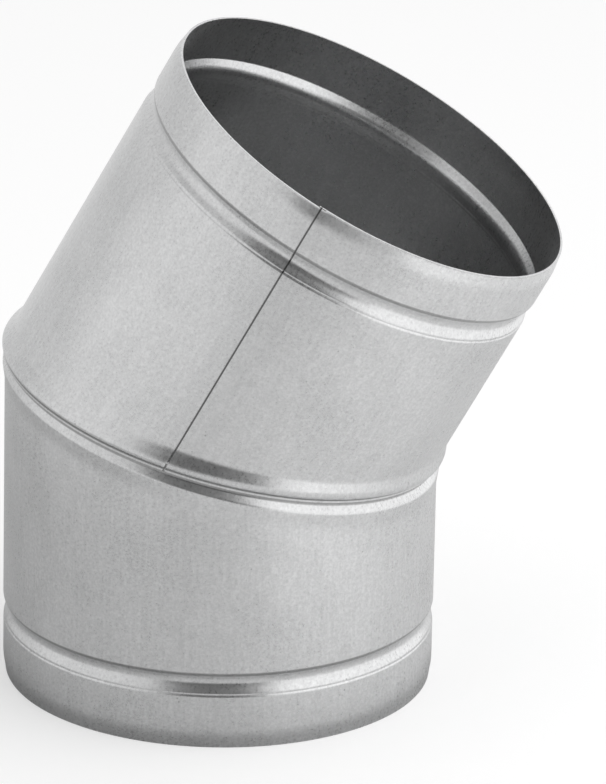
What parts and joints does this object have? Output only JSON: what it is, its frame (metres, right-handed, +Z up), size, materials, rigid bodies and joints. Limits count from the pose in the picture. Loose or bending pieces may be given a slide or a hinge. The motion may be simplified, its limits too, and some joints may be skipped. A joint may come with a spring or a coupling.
{
  "type": "duct elbow",
  "caption": "Sheet-metal duct elbow: rolled gores hooked together at a beaded mitre, with a grooved plain collar at each end.",
  "frame": {"origin": "centre of the lower rim, on the lower gore's axis", "axes": "+Z up the lower gore's axis from its rim, +X towards the side that the upper gore leans to, +Y completes the right-handed frame"},
  "size_m": [0.1925, 0.1534, 0.2306],
  "materials": {
    "sheet": "zinc-coated sheet, satin"
  },
  "bodies": {
    "root": {"lower_gore": "sheet", "upper_gore": "sheet"}
  },
  "joints": []
}
